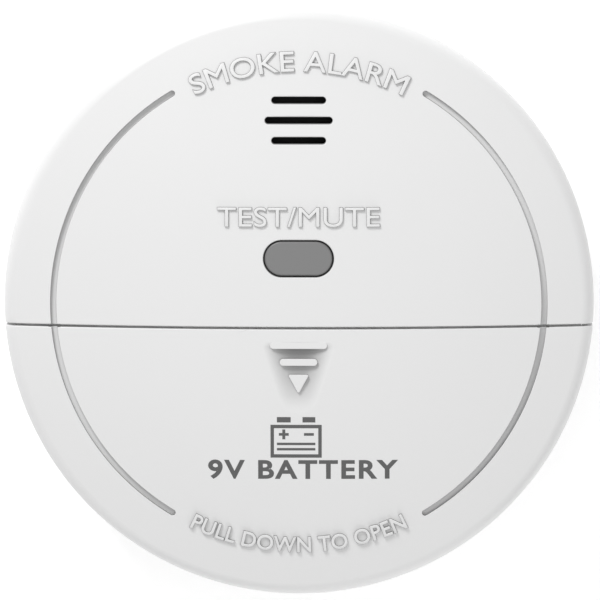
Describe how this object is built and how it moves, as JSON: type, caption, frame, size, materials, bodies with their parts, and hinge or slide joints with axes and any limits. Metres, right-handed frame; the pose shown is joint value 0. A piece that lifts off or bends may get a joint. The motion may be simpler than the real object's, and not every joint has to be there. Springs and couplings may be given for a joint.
{
  "type": "smoke detector",
  "caption": "Round white battery smoke detector with a domed face, sounder slots, a test button, a sliding battery door and a twist-on mounting bracket.",
  "frame": {"origin": "centre of the bracket's back face, the face that goes against the ceiling", "axes": "+Z out of the ceiling and through the alarm's face, -Y towards the battery door, the way it slides; +Y towards the sounder slots"},
  "size_m": [0.12, 0.12, 0.036],
  "materials": {
    "face_white": "satin white moulding",
    "housing_white": "satin white moulding",
    "bracket_white": "satin white moulding",
    "button_grey": "satin mid-grey moulding",
    "black_plastic": "matt black moulding",
    "board_green": "green solder mask over glass-epoxy",
    "red_lens": "tinted red epoxy",
    "black_epoxy": "moulded epoxy package",
    "capacitor_sleeve": "shrink sleeve",
    "copper_wire": "enamelled copper winding",
    "zinc_screw": "zinc-plated steel",
    "chamber_black": "matt black, light absorbing",
    "screen_steel": "etched stainless sheet",
    "clear_epoxy": "clear epoxy",
    "dark_epoxy": "dark infrared-pass epoxy",
    "horn_black": "matt black moulding",
    "disc_brass": "rolled brass",
    "piezo_ceramic": null,
    "spring_steel": "nickel-plated spring strip",
    "gasket_rubber": "foam rubber",
    "black_felt": "thin black felt",
    "battery_sleeve": "plain dark sleeve with a grey band",
    "nickel": "nickel-plated snap",
    "lead_red": "red insulation",
    "lead_black": "black insulation"
  },
  "bodies": {
    "bracket": {"mounting_bracket": "bracket_white"},
    "alarm": {"base_housing": "housing_white", "front_cover": "face_white", "tactile_switch": "black_plastic", "circuit_board": "board_green", "status_led": "red_lens", "microcontroller": "black_epoxy", "capacitors": "capacitor_sleeve", "horn_coil": "copper_wire", "chip_resistors": "black_epoxy", "board_screws": "zinc_screw", "cover_screws": "zinc_screw", "tray_screws": "zinc_screw", "optical_labyrinth": "chamber_black", "chamber_cap": "chamber_black", "insect_screen": "screen_steel", "infrared_led": "clear_epoxy", "photodiode": "dark_epoxy", "horn_cup": "horn_black", "piezo_disc": "disc_brass", "piezo_element": "piezo_ceramic", "piezo_contacts": "spring_steel", "horn_gasket": "gasket_rubber", "dust_felt": "black_felt", "battery_tray": "housing_white", "battery_case": "battery_sleeve", "battery_end_plate": "black_plastic", "battery_positive_snap": "nickel", "battery_negative_snap": "nickel", "battery_contact_positive": "spring_steel", "battery_contact_negative": "spring_steel", "battery_leaf_spring": "spring_steel", "battery_lead_red": "lead_red", "battery_lead_black": "lead_black"},
    "door": {"battery_door": "face_white"},
    "button": {"test_button": "button_grey"},
    "plunger": {"switch_plunger": "black_plastic"}
  },
  "joints": [
    {"name": "bracket_twist", "type": "hinge", "parent": "bracket", "child": "alarm", "pos_m": [0, 0, 0.004], "axis": [0, 0, 1], "range_deg": [0, 30]},
    {"name": "battery_door_slide", "type": "slide", "parent": "alarm", "child": "door", "axis": [0, -1, 0], "range_m": [0, 0.058]},
    {"name": "test_button_press", "type": "slide", "parent": "alarm", "child": "button", "axis": [0, 0, -1], "range_m": [0, 0.0006], "stiffness_N_per_m": 1500},
    {"name": "switch_plunger_press", "type": "slide", "parent": "alarm", "child": "plunger", "axis": [0, 0, -1], "range_m": [0, 0.0006]}
  ],
  "couplings": [
    {"joint": "switch_plunger_press", "follows": "test_button_press", "ratio": 1}
  ]
}
